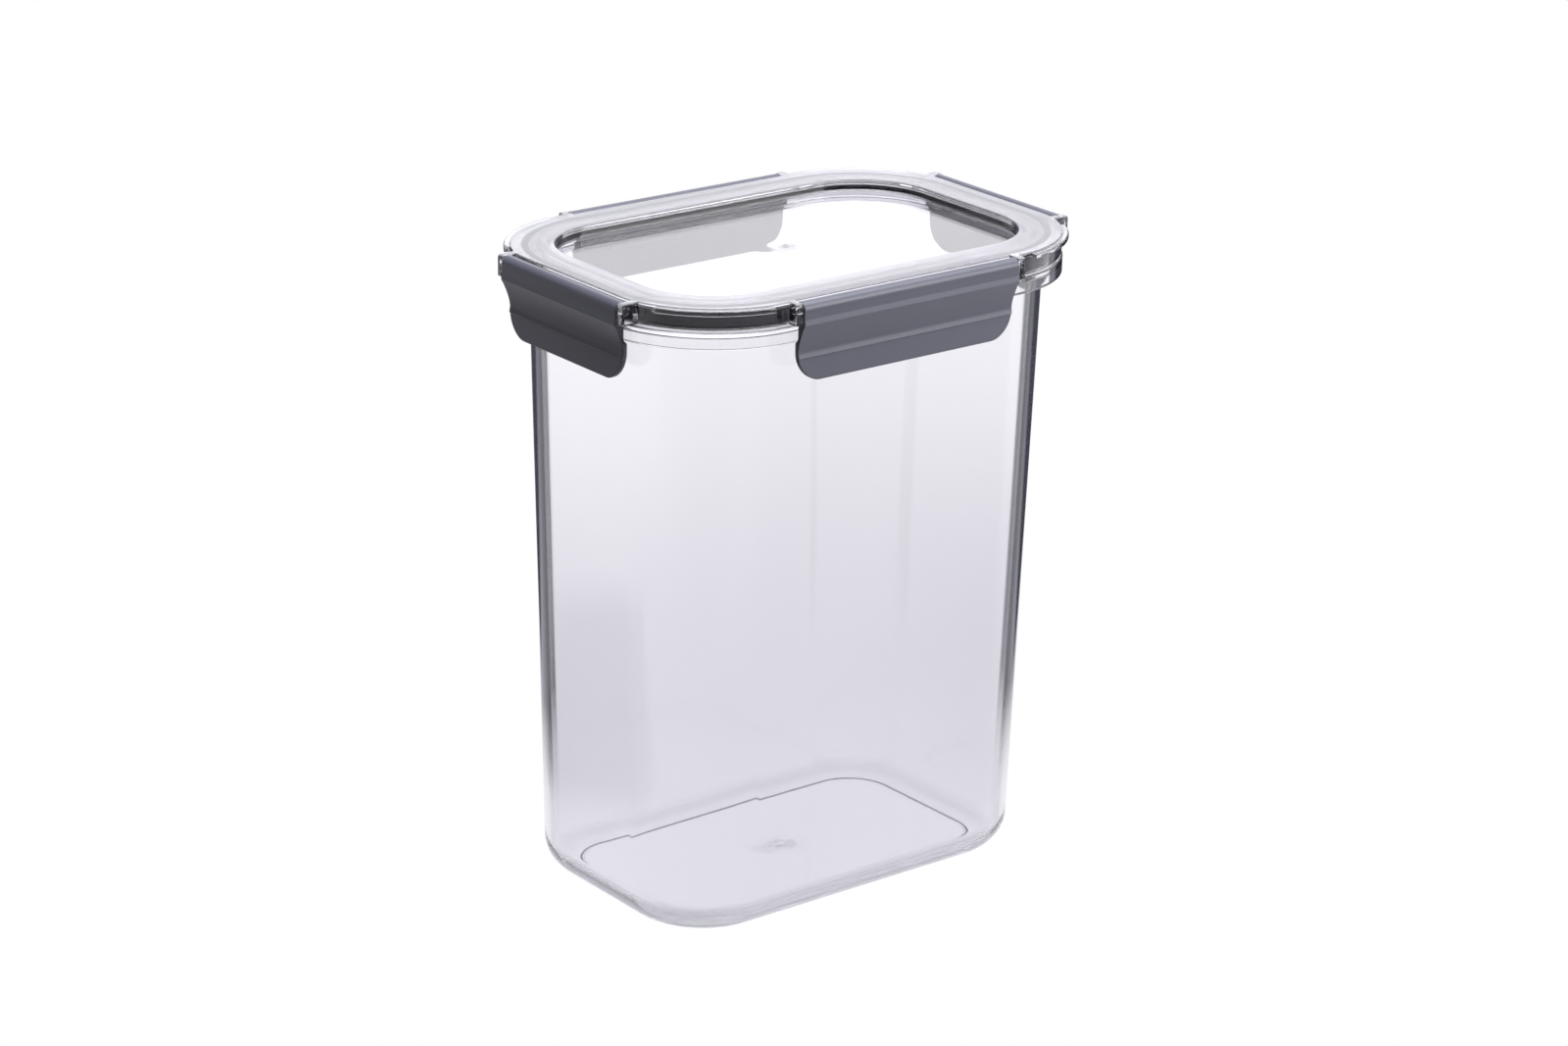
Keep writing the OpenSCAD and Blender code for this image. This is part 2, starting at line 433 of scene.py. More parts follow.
class Shell:
    """A closed mesh under construction, in millimetres."""

    def __init__(self, name: str, mesh: bpy.types.Mesh | None = None) -> None:
        """Starts empty, or from a mesh in metres.

        Args:
            name: the piece's name.
            mesh: a mesh to go on with.
        """
        self.name = name
        self.shape = bmesh.new()
        self.materials: list[bpy.types.Material] = []
        if mesh:
            self.shape.from_mesh(mesh)
            self.materials = list(mesh.materials)

    def ring(self, points: Iterable[Sequence[float]]) -> list[bmesh.types.BMVert]:
        """Adds a ring of points and returns its vertices."""
        return [self.shape.verts.new(Vector(p) * MM) for p in points]

    def band(self, low: Sequence[Any], high: Sequence[Any], closed: bool = True) -> None:
        """Joins two rows of vertices with faces.

        Args:
            low: one row.
            high: the other, as long.
            closed: whether each row's ends meet.
        """
        count = len(low)
        for k in range(count if closed else count - 1):
            nxt = (k + 1) % count
            corners = dict.fromkeys((low[k], low[nxt], high[nxt], high[k]))
            self.shape.faces.new(list(corners))

    def close_flat(self, rim: Sequence[Any], nub: Sequence[Point], loops: int = 4) -> None:
        """Closes a flat opening round the middle with rings that end in a round nub.

        Args:
            rim: the opening's vertices, in order.
            nub: radius and extra height of each ring of the nub, largest first.
            loops: rings between the opening's edge and the nub.
        """
        edge = np.array([v.co for v in rim]) / MM
        around = np.arctan2(edge[:, 1], edge[:, 0])
        circle = np.c_[np.cos(around), np.sin(around)]
        level = float(edge[:, 2].mean())
        row = list(rim)
        for k in range(1, loops + 1):
            share = k / (loops + 1)
            flat = edge[:, :2] * (1 - share) + circle * nub[0][0] * share
            nxt = self.ring([(x, y, level) for x, y in flat])
            self.band(row, nxt)
            row = nxt
        for radius, rise in nub:
            nxt = self.ring([(x * radius, y * radius, level + rise) for x, y in circle])
            self.band(row, nxt)
            row = nxt
        pole = self.shape.verts.new(Vector((0, 0, level + nub[-1][1])) * MM)
        for k, here in enumerate(row):
            self.shape.faces.new((here, row[(k + 1) % len(row)], pole))

    def rims(self) -> list[list[bmesh.types.BMVert]]:
        """Finds the open edges.

        Returns:
            Each opening's vertices in order, the lowest opening first.
        """
        links: dict[Any, list[Any]] = {}
        for edge in self.shape.edges:
            if edge.is_boundary:
                for here, there in (edge.verts, reversed(edge.verts)):
                    links.setdefault(here, []).append(there)
        found = []
        while links:
            here = next(iter(links))
            row = []
            while here is not None:
                row.append(here)
                onward = [v for v in links.pop(here) if v in links]
                here = onward[0] if onward else None
            found.append(row)
        return sorted(found, key=lambda row: row[0].co.z)

    def build(self) -> bpy.types.Object:
        """Merges doubled points, turns the faces outwards and ends the construction.

        Returns:
            The object, with the shell's materials.
        """
        shape = self.shape
        bmesh.ops.remove_doubles(shape, verts=shape.verts, dist=MERGE)
        bmesh.ops.recalc_face_normals(shape, faces=shape.faces)
        if shape.calc_volume(signed=True) < 0:
            bmesh.ops.reverse_faces(shape, faces=shape.faces)
        for face in shape.faces:
            face.smooth = True
        mesh = bpy.data.meshes.new(self.name)
        shape.to_mesh(mesh)
        shape.free()
        for material in self.materials:
            mesh.materials.append(material)
        return new_object(self.name, mesh)


def cut(thing: bpy.types.Object, tool: bpy.types.Object, operation: str) -> bpy.types.Object:
    """Cuts a tool out of a piece, or joins it on, and removes the tool.

    Args:
        thing: the piece.
        tool: the other closed mesh.
        operation: DIFFERENCE or UNION.

    Returns:
        The piece, with its mesh replaced.
    """
    modifier = thing.modifiers.new("cut", "BOOLEAN")
    modifier.operation = operation
    modifier.solver = "EXACT"
    modifier.object = tool
    graph = bpy.context.evaluated_depsgraph_get()
    mesh = bpy.data.meshes.new_from_object(thing.evaluated_get(graph))
    thing.modifiers.clear()
    thing.data = mesh
    bpy.data.objects.remove(tool)
    return thing


def crease(thing: bpy.types.Object, degrees: float = 40.0) -> bpy.types.Object:
    """Smooths a piece except across its sharp edges.

    Args:
        thing: the piece.
        degrees: turn from which an edge stays sharp.

    Returns:
        The piece.
    """
    thing.data.shade_smooth()
    thing.data.set_sharp_from_angle(angle=math.radians(degrees))
    return thing


@dataclass(frozen=True)
class Side:
    """One side of the canister; along runs anticlockwise from above, out runs outwards."""

    name: str
    turn: float
    reach: float
    half: float
    latch: float

    def at(self, along: float, out: float, z: float) -> tuple[float, float, float]:
        """Places a point.

        Args:
            along: distance from the side's middle.
            out: distance out from the core.
            z: height.

        Returns:
            The point.
        """
        c, s = math.cos(self.turn), math.sin(self.turn)
        away = self.reach + out
        return (away * c - along * s, away * s + along * c, z)

    def past(self, along: float) -> float:
        """How far a place along the side lies past the end of its straight part."""
        return max(0.0, abs(along) - self.half)

    def corner(self, lean: float, out: float, z: float) -> tuple[float, float, float]:
        """The point round the corner after this side.

        Args:
            lean: angle from the side's own outward direction, in radians.
            out: offset from the core.
            z: height.

        Returns:
            The point.
        """
        return self.at(self.half + out * math.sin(lean), out * math.cos(lean), z)


@dataclass(frozen=True)
class Sizes:
    """Driving sizes of the canister, in millimetres; offsets are out from the core."""

    core_x: float = 48.5
    core_y: float = 20.5
    height: float = 225.0
    base_corner: float = 30.0
    lean: float = math.radians(1.47)
    body_height: float = 217.0
    flange_reach: float = 6.6
    skin: float = 2.2
    neck: float = 1.8
    play: float = 0.4
    end_play: float = 0.3
    gasket: float = 2.4
    skirt: float = 2.0
    barrel: float = 2.7
    pin: float = 1.2
    pin_length: float = 1.8

    def wall_out(self, z: float) -> float:
        """Offset of the wall's outside at a height."""
        return self.base_corner + z * math.tan(self.lean)

    @property
    def flange_out(self) -> float:
        """Offset of the flange's edge."""
        return self.wall_out(self.body_height) + self.flange_reach

    @property
    def neck_out(self) -> float:
        """Offset of the neck's outside."""
        return self.wall_out(self.body_height) - self.play

    @property
    def gasket_in(self) -> float:
        """Offset of the gasket's inside."""
        return self.neck_out + self.play

    @property
    def skirt_in(self) -> float:
        """Offset of the skirt's inside."""
        return self.gasket_in + self.gasket + self.end_play

    @property
    def notch_out(self) -> float:
        """Offset of the flat that a latch's barrel turns beside."""
        return self.skirt_in + self.skirt

    @property
    def pin_out(self) -> float:
        """Offset of each hinge's axis."""
        return self.notch_out + self.play + self.barrel

    @property
    def pin_z(self) -> float:
        """Height of each hinge's axis."""
        return self.height - self.barrel

    @property
    def flange_low(self) -> float:
        """Height of the flange's lower edge."""
        return self.body_height - 6.0

    @property
    def skirt_low(self) -> float:
        """Height of the skirt's lower edge."""
        return self.body_height + 2 * self.end_play


def measure() -> tuple[Sizes, list[Side]]:
    """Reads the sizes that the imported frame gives.

    Returns:
        The sizes, and the four sides anticlockwise from the right one.
    """
    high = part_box("container")[1] / MM
    plain = Sizes()
    sizes = Sizes(
        core_x=round(high.x - plain.flange_out, 3),
        core_y=round(high.y - plain.flange_out, 3),
        height=round(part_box("lid")[1].z / MM, 3),
    )
    sides = []
    for turn, name in enumerate(("right", "back", "left", "front")):
        low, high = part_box(f"latch_{name}")
        span = (high - low) / MM
        reach, half = (sizes.core_x, sizes.core_y) if turn % 2 == 0 else (sizes.core_y, sizes.core_x)
        length = (span.y if turn % 2 == 0 else span.x) - 2 * sizes.pin_length
        sides.append(Side(name, math.radians(90 * turn), reach, half, round(length, 3)))
    return sizes, sides


@dataclass(frozen=True)
class ClearPlastic:
    """Clear rigid plastic with the faint flow waves and gate haze of moulding, and with
    painted shade: dark edges where the wall is seen edge-on, a dark band round the
    recess, and darker colour low down and at the base.

    Its lengths are metres, because its patterns read Object coordinates.
    """

    name: str
    core: Point
    tint: Colour = (0.985, 0.982, 0.99)
    # The next four fields set painted shade: darker low down, and darker still at the base.
    low_shade_tint: Colour = (0.985, 0.982, 0.99)
    low_shade_height: Point = (0.07, 0.205)
    sole_shade_tint: Colour = (0.80, 0.795, 0.835)
    sole_shade_height: Point = (0.0032, 0.006)
    # Colour of the painted shade on walls seen edge-on and in the band round the recess.
    dark: Colour = (0.006, 0.006, 0.013)
    index: float = 1.50
    wave: float = 0.00012
    ripple_share: float = 0.12
    # The next two set where upright walls seen edge-on get painted dark shade.
    painted_edge_facing: Point = (0.55, 0.6)
    painted_edge_rise: Point = (0.02, 0.065)
    gate_height: float = 0.0
    gate_reach: float = 0.011
    gate_depth: float = 0.003
    gate_haze: float = 0.42
    rim_above: float = 9.0
    rim_haze: float = 0.0
    rim_frost: float = 0.0
    foot_frost: float = 0.0
    foot_out: Point = (0.018, 0.021)
    foot_up: Point = (0.008, 0.024)
    frosting: Colour = (0.72, 0.715, 0.79)
    # The last two fields bound a painted dark band of shade round the recess wall.
    band: Point = (9.0, 9.1)
    shade_band_inside: float = 0.0297

    def _colour(self, tree: ShaderTree, place: bpy.types.NodeSocket, offset: Value, rise: Value) -> Any:
        """The clear plastic's colour.

        It is darker low down and in the floor, which is painted shade. It is dark
        where the wall is seen edge-on, a painted reflection of a dark surround, and
        in a band round the recess, painted shade where the gasket shows through.

        Args:
            tree: the shader tree.
            place: the coordinates.
            offset: distance out from the core.
            rise: how far the surface faces up.

        Returns:
            The colour socket.
        """
        z = tree.axes(place)[2]
        # Painted shade: the wall darkens low down in cloudy patches, and the base below a few millimetres is
        # darker still.
        shade_patch = tree.noise(place, 9.0, 1.0, (1.0, 1.0, 0.5)).ramp(0.35, 0.65, 0.85, 1.0)
        fall = z.ramp(*self.low_shade_height, 1.0, 0.0) * z.ramp(0.0, 0.05, 0.8, 1.0) * shade_patch
        sole_shade = z.ramp(*self.sole_shade_height, 1.0, 0.0)
        body = tree.mix(sole_shade, tree.mix(fall, self.tint, self.low_shade_tint), self.sole_shade_tint)
        # Painted shade: upright walls turn dark where they are seen edge-on, standing in for the dark
        # surround that they reflect.
        upright = (rise ** 2.0).ramp(0.1, 0.5, 1.0, 0.0)
        facing = tree.value("ShaderNodeLayerWeight", {}, {"Blend": 0.5}, "Facing")
        edge = facing.ramp(*self.painted_edge_facing) * upright * z.ramp(*self.painted_edge_rise, 0.1, 1.0)
        # Painted shade: a dark band round the recess wall, where the gasket's shade shows through.
        low, high = self.band
        band = z.between(low, low + 0.0004, high - 0.0003, high) * upright
        band = band * offset.ramp(self.shade_band_inside - 0.001, self.shade_band_inside, 1.0, 0.0)
        return tree.mix(band, tree.mix(edge, body, self.dark), self.dark)

    def material(self) -> bpy.types.Material:
        """Makes the material.

        Returns:
            The material, clear with a share of frosting on its rim and foot.
        """
        made = bpy.data.materials.new(self.name)
        tree = ShaderTree(made)
        place = tree.place()
        x, y, z = tree.axes(place)
        mottle = tree.noise(place, 300.0, 3.0)
        near = ((x * x * 0.45 + y * y) ** 0.5).ramp(0.001, self.gate_reach, 1.0, 0.0)
        level = ((z - self.gate_height) ** 2.0).ramp(0.0, self.gate_depth ** 2, 1.0, 0.0)
        gate = near * level * mottle.ramp(0.25, 0.75, 0.35, 1.0)
        rim = z.ramp(self.rim_above - 0.0006, self.rim_above)
        past_x, past_y = (
            tree.value("ShaderNodeMath", {"operation": "MAXIMUM"}, {0: abs(axis) - half, 1: 0.0})
            for axis, half in zip((x, y), self.core)
        )
        offset = (past_x * past_x + past_y * past_y) ** 0.5
        rise = tree.axes(tree.node("ShaderNodeNewGeometry", {}, {}).outputs["Normal"])[2]
        foot = offset.ramp(*self.foot_out) * z.ramp(*self.foot_up, 1.0, 0.0)
        foot = foot * rise.ramp(-0.5, -0.05, 1.0, 0.0)
        flow = tree.noise(place, 20.0, 1.5, (1.0, 1.0, 0.3))
        ripple = tree.noise(place, 90.0, 1.0, (1.0, 1.0, 0.15))
        clear = tree.principled({
            "Base Color": self._colour(tree, place, offset, rise),
            "Roughness": gate * self.gate_haze + rim * self.rim_haze * mottle.ramp(0.3, 0.7, 0.93, 1.07),
            "IOR": self.index,
            "Transmission Weight": 1.0,
            "Normal": tree.bump(flow + ripple * self.ripple_share, self.wave),
        })
        frosted = tree.principled({"Base Color": (*self.frosting, 1.0), "Roughness": 0.45})
        share = rim * self.rim_frost + foot * self.foot_frost
        both = tree.node("ShaderNodeMixShader", {}, {0: share, 1: clear, 2: frosted})
        tree.finish(both.outputs[0])
        return made


@dataclass(frozen=True)
class DullPlastic:
    """Opaque plastic or rubber: a cloud of two tones, paler at sharp edges, over a fine grain.

    deep and pale are shares of the colour, and cloud and grain[0] are cells to the metre.
    """

    name: str
    colour: Colour
    deep: float
    pale: float
    index: float
    rough: float
    cloud: float
    cloud_tone: float
    cloud_rough: float
    edge_tone: float
    grain: Point
    grain_rough: float
    grain_depth: float

    def material(self) -> bpy.types.Material:
        """Makes the material.

        Returns:
            The material.
        """
        made = bpy.data.materials.new(self.name)
        tree = ShaderTree(made)
        place = tree.place()
        cloud = tree.noise(place, self.cloud, 3.0)
        grain = tree.noise(place, *self.grain)
        wear = tree.value("ShaderNodeNewGeometry", {}, {}, "Pointiness").ramp(0.53, 0.62)
        tones = [tuple(c * share for c in self.colour) for share in (self.deep, self.pale)]
        tree.finish(tree.principled({
            "Base Color": tree.mix(cloud * self.cloud_tone + wear * self.edge_tone, *tones),
            "Roughness": self.rough + cloud * self.cloud_rough + grain * self.grain_rough,
            "IOR": self.index,
            "Normal": tree.bump(grain, self.grain_depth),
        }))
        return made


LATCH_GREY = DullPlastic(
    "latch_grey", colour=(0.118, 0.120, 0.158), deep=0.94, pale=1.22, index=1.49, rough=0.32,
    cloud=45.0, cloud_tone=0.45, cloud_rough=0.05, edge_tone=0.5,
    grain=(5200.0, 2.0), grain_rough=0.06, grain_depth=0.000012,
)
SILICONE = DullPlastic(
    "gasket_silicone", colour=(0.075, 0.073, 0.090), deep=1.0, pale=1.5, index=1.41, rough=0.45,
    cloud=120.0, cloud_tone=1.0, cloud_rough=0.0, edge_tone=0.0,
    grain=(3000.0, 1.0), grain_rough=0.12, grain_depth=0.00002,
)


class Sweep:
    """Geometry Nodes that sweep an outline round the core rectangle."""

    def __init__(self, sizes: Sizes, path: float = 36.0, steps: int = 30) -> None:
        """Builds the tree once, for every swept piece.

        Args:
            sizes: the canister's sizes.
            path: offset of the path that the outline follows, in millimetres.
            steps: points in each rounded corner.
        """
        self.sizes = sizes
        self.path = path
        self.steps = steps
        tree = GeometryTree("rounded_sweep", {
            "Core Length": "NodeSocketFloat",
            "Core Width": "NodeSocketFloat",
            "Path Radius": "NodeSocketFloat",
            "Corner Steps": "NodeSocketInt",
            "Finish": "NodeSocketMaterial",
        })
        both = tree.math("MULTIPLY", tree["Path Radius"], 2.0)
        corners = tree.node("GeometryNodeCurvePrimitiveQuadrilateral", {"mode": "RECTANGLE"}, {
            "Width": tree.math("ADD", tree["Core Length"], both),
            "Height": tree.math("ADD", tree["Core Width"], both),
        })
        rounded = tree.node("GeometryNodeFilletCurve", {"mode": "POLY"}, {
            "Curve": corners,
            "Count": tree["Corner Steps"],
            "Radius": tree["Path Radius"],
        })
        upright = tree.node("GeometryNodeSetCurveNormal", {"mode": "Z_UP"}, {"Curve": rounded})
        outline = tree.node("GeometryNodeMeshToCurve", {}, {"Mesh": tree["Geometry"]})
        swept = tree.node("GeometryNodeCurveToMesh", {}, {"Curve": upright, "Profile Curve": outline})
        self.tree = tree.close(swept)

    def run(
        self, name: str, outline: Sequence[Point], closed: bool, finish: bpy.types.Material
    ) -> bpy.types.Object:
        """Sweeps one outline.

        Args:
            name: the piece's name.
            outline: its [offset, height] points.
            closed: whether the outline's ends join.
            finish: the piece's material.

        Returns:
            The swept object, open where the outline is.
        """
        points = [((out - self.path) * MM, -z * MM, 0.0) for out, z in outline]
        count = len(points)
        edges = [(k, (k + 1) % count) for k in range(count if closed else count - 1)]
        mesh = bpy.data.meshes.new(name)
        mesh.from_pydata(points, edges, [])
        return self.tree.apply(new_object(name, mesh), {
            "Core Length": 2 * self.sizes.core_x * MM,
            "Core Width": 2 * self.sizes.core_y * MM,
            "Path Radius": self.path * MM,
            "Corner Steps": self.steps,
            "Finish": finish,
        })

    def settle(self, thing: bpy.types.Object) -> bpy.types.Object:
        """Gives a ring-shaped piece exact normals, with no lean along the ring.

        Args:
            thing: the piece, whose mesh is final.

        Returns:
            The piece.
        """
        mesh = thing.data
        count = len(mesh.vertices)
        spots, normals = np.empty(3 * count), np.empty(3 * count)
        mesh.vertices.foreach_get("co", spots)
        mesh.vertices.foreach_get("normal", normals)
        spots, normals = spots.reshape(-1, 3), normals.reshape(-1, 3)
        core = np.array([self.sizes.core_x, self.sizes.core_y]) * MM
        away = spots[:, :2] - np.clip(spots[:, :2], -core, core)
        span = np.linalg.norm(away, axis=1)
        ringed = span > 0.009
        way = away[ringed] / span[ringed, None]
        normals[ringed, :2] = way * (normals[ringed, :2] * way).sum(axis=1)[:, None]
        normals /= np.linalg.norm(normals, axis=1)[:, None]
        mesh.normals_split_custom_set_from_vertices(normals.tolist())
        return thing


@dataclass
class Container:
    """The clear open box with its foot ring, flange and neck."""

    sizes: Sizes
    sweep: Sweep
    wall: float = 2.2
    floor: float = 3.0
    base_round: float = 12.0
    foot_rise: float = 0.8
    foot_ring: float = 2.4
    line: float = 0.1
    neck_top: float = 221.0
    rib_low: float = 214.0
    round_steps: int = 14
    nub: tuple[Point, ...] = ((3.4, 0.0), (2.6, -0.04), (1.5, -0.05), (1.2, -0.10), (0.5, -0.12))

    def outline(self) -> list[Point]:
        """Draws the section from under the floor, round the outside and down the inside.

        Returns:
            The [offset, height] points.
        """
        s = self.sizes
        high, low = s.body_height, s.flange_low
        round_in = s.wall_out(self.base_round) - self.base_round
        inner = self.base_round - self.wall
        inner_in = s.wall_out(self.floor + inner) - self.wall - inner
        under = high - s.skin
        foot = round_off([
            (round_in - self.foot_ring - 2.5, self.foot_rise + self.line, 0),
            (round_in - self.foot_ring - 0.75, self.foot_rise + self.line, 0.15),
            (round_in - self.foot_ring - 0.6, self.foot_rise, 0.1),
            (round_in - self.foot_ring, self.foot_rise, 0.4),
            (round_in - self.foot_ring + self.foot_rise, 0, 0.4),
            (round_in, 0, 0),
        ])
        outside = arc((round_in, self.base_round), self.base_round, -90, 0, self.round_steps)
        rim = round_off([
            (s.wall_out(self.base_round + 1), self.base_round + 1, 0),
            (s.wall_out(under), under, 0.8),
            (s.flange_out - s.skin, under, 0.6),
            (s.flange_out - s.skin, low, 0.4),
            (s.flange_out, low, 0.5),
            (s.flange_out, high, 0.6),
            (s.neck_out, high, 0.5),
            (s.neck_out, self.neck_top, 0.5),
            (s.neck_out - s.neck, self.neck_top, 0.5),
            (s.neck_out - s.neck, self.rib_low, 1.2),
            (inner_in + inner, self.floor + inner + 1, 0),
        ])
        inside = arc((inner_in, self.floor + inner), inner, 0, -90, self.round_steps)
        return foot[:-1] + outside + rim + inside + [(inner_in - 3, self.floor)]

    def make(self, finish: bpy.types.Material) -> bpy.types.Object:
        """Makes the container.

        Args:
            finish: its clear plastic.

        Returns:
            The object.
        """
        swept = self.sweep.run("container_swept", self.outline(), False, finish)
        shell = Shell("container_body", swept.data)
        bpy.data.objects.remove(swept)
        under, inside = shell.rims()
        shell.close_flat(under, self.nub)
        shell.close_flat(inside, ((3.0, 0.0), (2.0, 0.0)))
        return self.sweep.settle(shell.build())


@dataclass
class Gasket:
    """The silicone ring under the lid's rim, with two sealing lips."""

    sizes: Sizes
    sweep: Sweep
    bevel: float = 0.6

    def make(self, finish: bpy.types.Material) -> bpy.types.Object:
        """Makes the gasket.

        Args:
            finish: its silicone.

        Returns:
            The object.
        """
        s = self.sizes
        left, right = s.gasket_in, s.gasket_in + s.gasket
        low, high = s.body_height + s.end_play, s.height - s.skin + 0.02
        middle = (left + right) / 2
        corners = [
            (left, high, 0), (left, low + self.bevel, 0.3), (left + self.bevel, low, 0.2),
            (middle, low + self.bevel, 0.3), (right - self.bevel, low, 0.2),
            (right, low + self.bevel, 0.3), (right, high, 0),
        ]
        swept = self.sweep.run("gasket_swept", round_off(corners), True, finish)
        shell = Shell("gasket_ring", swept.data)
        bpy.data.objects.remove(swept)
        return self.sweep.settle(shell.build())


class Stretch(Enum):
    """What the outside of the lid is like at a place along its edge."""

    LIP = "lip"
    GAP = "gap"
    EAR = "ear"
    NOTCH = "notch"


@dataclass
class Lid:
    """The clear lid: recessed panel, rim, centring rib, skirt, lip and hinge ears."""

    sizes: Sizes
    sides: list[Side]
    lip_reach: float = 2.2
    lip_thick: float = 1.7
    lip_drop: float = 0.5
    lip_gap: float = 6.0
    ear: float = 2.6
    ear_inset: float = 0.5
    ear_corner: float = 1.2
    plug: float = 1.7
    plug_low: float = 214.0
    recess_depth: float = 4.0
    recess_inset: float = 8.7
    flat: float = 8.0
    edge: float = 0.35
    corner_steps: int = 14
    nub: tuple[Point, ...] = ((2.6, 0.0), (2.4, 0.015), (2.2, 0.015), (2.0, 0.0), (0.9, 0.0), (0.6, 0.04))

    def outer(self, kind: Stretch, side: Side, along: float, inset: float) -> list[Corner]:
        """The outer corners of the section at a place along a side.

        Args:
            kind: what the outside is like there.
            side: the side.
            along: the place.
            inset: how far the section is drawn in, to round the end of an ear or lip.

        Returns:
            Eight corners, each with depth, height and radius.
        """
        s = self.sizes
        past = side.past(along)

        def ring(out: float) -> float:
            """Depth of the ring of an offset."""
            return math.sqrt(out * out - past * past)

        skirt = ring(s.flange_out - s.play)
        lip_high = s.height - self.lip_drop
        lip_low = lip_high - self.lip_thick
        roof, low, top = s.height - s.skin, s.skirt_low, s.height
        inner = [(ring(s.skirt_in), roof, 0.3), (ring(s.skirt_in), low, 0.3)]
        if kind is Stretch.LIP:
            lip = ring(s.flange_out - s.play + self.lip_reach) - inset
            return inner + [
                (skirt, low, 0.4), (skirt, lip_low, 0.3), (lip, lip_low + inset / 3, 0.45),
                (lip, lip_high - inset / 3, 0.6), (skirt, lip_high, 0.15), (skirt, top, 0.3),
            ]
        if kind is Stretch.EAR:
            far = s.pin_out + s.barrel - self.ear_inset - inset
            high = top - inset / 2
            return inner + [
                (far, low + inset / 2, 0.4), (far, s.pin_z - 1.5, 0), (far, high, self.ear_corner),
                (s.pin_out - 0.4, high, 0), (s.pin_out - 0.8, high, 0), (skirt, top, 0),
            ]
        face = min(skirt, s.notch_out) if kind is Stretch.NOTCH else skirt
        return inner + [
            (face, low, 0.4), (face, lip_low, 0), (face, lip_low + 0.5, 0),
            (face, lip_high - 0.5, 0), (face, lip_high, 0), (face, top, 0.3),
        ]

    def section(self, kind: Stretch, side: Side, along: float, inset: float = 0.0) -> list[tuple[float, ...]]:
        """The lid's section at a place along a side, from under its panel to its top.

        Args:
            kind: what the outside is like there.
            side: the side.
            along: the place.
            inset: how far the outer part is drawn in.

        Returns:
            The points, as many for every section.
        """
        s = self.sizes
        past, sign = side.past(along), math.copysign(1.0, along)
        rib_out = s.neck_out - s.neck - s.play
        recess = s.wall_out(s.body_height) - self.recess_inset
        roof, floor = s.height - s.skin, s.height - self.recess_depth
        under = [
            (self.flat, floor - s.skin, 0), (recess + s.skin, floor - s.skin, 0.5),
            (recess + s.skin, roof, 0.4), (rib_out - self.plug, roof, 0.4),
            (rib_out - self.plug, self.plug_low, 0.4), (rib_out, self.plug_low, 0.4), (rib_out, roof, 0.4),
        ]
        over = [(recess, s.height, 0.6), (recess, floor, 0.8), (self.flat, floor, 0)]
        outer = self.outer(kind, side, along, inset)
        points = []

        def inner_point(out: float, z: float) -> tuple[float, float, float]:
            """Places a point of the inner rings.

            Args:
                out: offset from the core.
                z: height.

            Returns:
                The point.
            """
            lean = math.asin(past / max(out, s.skirt_in))
            if past == 0:
                return side.at(along, out, z)
            return side.at(sign * (side.half + out * math.sin(lean)), out * math.cos(lean), z)

        for out, z in round_off(under + [(s.skirt_in, roof, 0)])[:-1]:
            points.append(inner_point(out, z))
        start = (math.sqrt(rib_out ** 2 - min(past, rib_out - 1) ** 2), roof, 0)
        finish = (math.sqrt(recess ** 2 - min(past, recess - 1) ** 2), s.height, 0)
        for depth, z in round_off([start] + outer + [finish], 5)[1:-1]:
            points.append(side.at(along, depth, z))
        for out, z in round_off([(s.skirt_in, s.height, 0)] + over)[1:]:
            points.append(inner_point(out, z))
        return points

    def stations(self, side: Side) -> list[tuple[Stretch, float, float]]:
        """Lists the sections along half a side, from its middle.

        Args:
            side: the side.

        Returns:
            The kind, the place and the inset of each.
        """
        room = side.latch / 2 + self.sizes.end_play
        ear_end = room + self.ear
        lip_start = ear_end + self.lip_gap
        e = self.edge
        found = [(Stretch.NOTCH, k * room / 6, 0.0) for k in range(7)]
        if side.half < room:
            found.append((Stretch.NOTCH, side.half, 0.0))
            found.sort(key=lambda row: row[1])
        found += [
            (Stretch.EAR, room, e), (Stretch.EAR, room + 0.3 * e, 0.3 * e), (Stretch.EAR, room + e, 0.0),
            (Stretch.EAR, room + self.ear / 2, 0.0),
            (Stretch.EAR, ear_end - e, 0.0), (Stretch.EAR, ear_end - 0.3 * e, 0.3 * e),
            (Stretch.EAR, ear_end, e),
            (Stretch.GAP, ear_end, 0.0), (Stretch.GAP, (ear_end + lip_start) / 2, 0.0),
            (Stretch.GAP, lip_start, 0.0), (Stretch.LIP, lip_start, 0.8),
            (Stretch.LIP, lip_start + 0.25, 0.3), (Stretch.LIP, lip_start + 0.8, 0.0),
        ]
        return found

